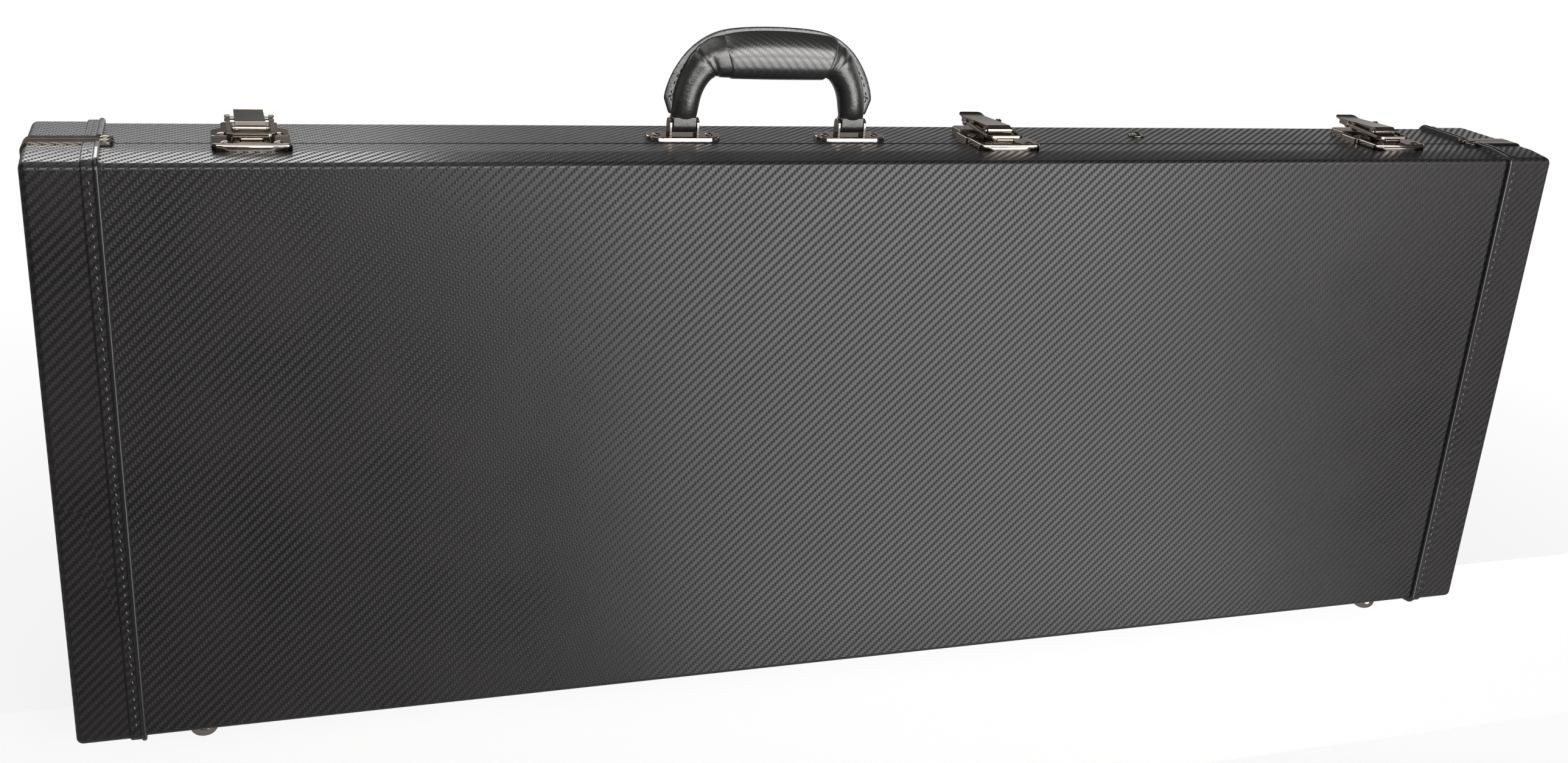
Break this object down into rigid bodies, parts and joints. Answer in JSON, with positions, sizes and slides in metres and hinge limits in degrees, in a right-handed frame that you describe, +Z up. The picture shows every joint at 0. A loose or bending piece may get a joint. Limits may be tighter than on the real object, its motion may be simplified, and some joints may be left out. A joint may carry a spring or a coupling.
{
  "type": "electric guitar case",
  "caption": "Black rectangular electric guitar case with vinyl end covers, rim guards, drawbolt latches and a padded handle",
  "frame": {"origin": "on the floor under the middle of the closed, standing case", "axes": "+X towards the neck end, +Y towards the back panel (the base's), +Z up towards the latches and the handle"},
  "size_m": [1.0452, 0.1086, 0.4464],
  "materials": {
    "vinyl": "black twill vinyl over plywood",
    "cover_vinyl": "fine-grained black vinyl",
    "piping": "glossy black vinyl cord",
    "plush": "black short plush",
    "ribbon": "woven black ribbon",
    "dark_nickel": "polished black nickel plate",
    "strap": "black leatherette strap"
  },
  "bodies": {
    "base": {"base_cover_body_end": "cover_vinyl", "base_cover_neck_end": "cover_vinyl", "base_feet": "dark_nickel", "base_lining": "plush", "base_piping": "piping", "base_rim_guard_body_end": "dark_nickel", "base_rim_guard_neck_end": "dark_nickel", "base_rim_lip": "plush", "base_rivets": "dark_nickel", "base_shell": "vinyl", "case_hinge_base_leaves": "dark_nickel", "case_hinge_pins": "dark_nickel", "compartment_hinge_fixed_leaf": "dark_nickel", "compartment_hinge_pin": "dark_nickel", "compartment_rail": "plush", "compartment_wall": "plush", "corner_block_lower": "plush", "corner_block_upper": "plush", "handle_brackets": "dark_nickel", "handle_plate_screws": "dark_nickel", "handle_plates": "dark_nickel", "latch_base_body_end": "dark_nickel", "latch_base_middle": "dark_nickel", "latch_base_neck_end": "dark_nickel", "latch_pivot_pins": "dark_nickel", "neck_rest": "plush", "pocket_wall": "plush", "shoulder_block_lower": "plush", "shoulder_block_upper": "plush", "side_stud": "dark_nickel", "waist_block_lower": "plush", "waist_block_upper": "plush"},
    "lid": {"case_hinge_lid_leaves": "dark_nickel", "keeper_body_end": "dark_nickel", "keeper_middle": "dark_nickel", "keeper_neck_end": "dark_nickel", "lid_cover_body_end": "cover_vinyl", "lid_cover_neck_end": "cover_vinyl", "lid_feet": "dark_nickel", "lid_lining": "plush", "lid_pad": "plush", "lid_piping": "piping", "lid_rim_guard_body_end": "dark_nickel", "lid_rim_guard_neck_end": "dark_nickel", "lid_rivets": "dark_nickel", "lid_shell": "vinyl"},
    "compartment_flap": {"compartment_lid": "plush", "compartment_pull_tab": "ribbon", "compartment_hinge_moving_leaf": "dark_nickel"},
    "handle": {"handle_grip": "cover_vinyl", "handle_end_loops": "strap"},
    "lever_body_end": {"latch_lever_body_end": "dark_nickel"},
    "loop_body_end": {"latch_loop_body_end": "dark_nickel"},
    "lever_middle": {"latch_lever_middle": "dark_nickel"},
    "loop_middle": {"latch_loop_middle": "dark_nickel"},
    "lever_neck_end": {"latch_lever_neck_end": "dark_nickel"},
    "loop_neck_end": {"latch_loop_neck_end": "dark_nickel"}
  },
  "joints": [
    {"name": "lid_hinge", "type": "hinge", "parent": "base", "child": "lid", "pos_m": [0, -0.007, 0.00495], "axis": [1, 0, 0], "range_deg": [0, 105]},
    {"name": "compartment_hinge", "type": "hinge", "parent": "base", "child": "compartment_flap", "pos_m": [0.068, 0.00035, 0.0274], "axis": [1, 0, 0], "range_deg": [0, 84]},
    {"name": "handle_swing", "type": "hinge", "parent": "base", "child": "handle", "pos_m": [-0.0765, 0.008, 0.3852], "axis": [1, 0, 0], "range_deg": [-80, 80]},
    {"name": "lever_body_end_pivot", "type": "hinge", "parent": "base", "child": "lever_body_end", "pos_m": [-0.3985, -0.006, 0.3847], "axis": [1, 0, 0], "range_deg": [0, 105]},
    {"name": "loop_body_end_pivot", "type": "hinge", "parent": "lever_body_end", "child": "loop_body_end", "pos_m": [-0.3985, 0.0195, 0.3852], "axis": [1, 0, 0], "range_deg": [-105, 0]},
    {"name": "lever_middle_pivot", "type": "hinge", "parent": "base", "child": "lever_middle", "pos_m": [0.083, -0.006, 0.3847], "axis": [1, 0, 0], "range_deg": [0, 105]},
    {"name": "loop_middle_pivot", "type": "hinge", "parent": "lever_middle", "child": "loop_middle", "pos_m": [0.083, 0.0195, 0.3852], "axis": [1, 0, 0], "range_deg": [-105, 0]},
    {"name": "lever_neck_end_pivot", "type": "hinge", "parent": "base", "child": "lever_neck_end", "pos_m": [0.3985, -0.006, 0.3847], "axis": [1, 0, 0], "range_deg": [0, 105]},
    {"name": "loop_neck_end_pivot", "type": "hinge", "parent": "lever_neck_end", "child": "loop_neck_end", "pos_m": [0.3985, 0.0195, 0.3852], "axis": [1, 0, 0], "range_deg": [-105, 0]}
  ],
  "couplings": [
    {"joint": "compartment_hinge", "follows": "lid_hinge", "ratio": 0.8},
    {"joint": "loop_body_end_pivot", "follows": "lever_body_end_pivot", "ratio": -1},
    {"joint": "loop_middle_pivot", "follows": "lever_middle_pivot", "ratio": -1},
    {"joint": "loop_neck_end_pivot", "follows": "lever_neck_end_pivot", "ratio": -1}
  ]
}
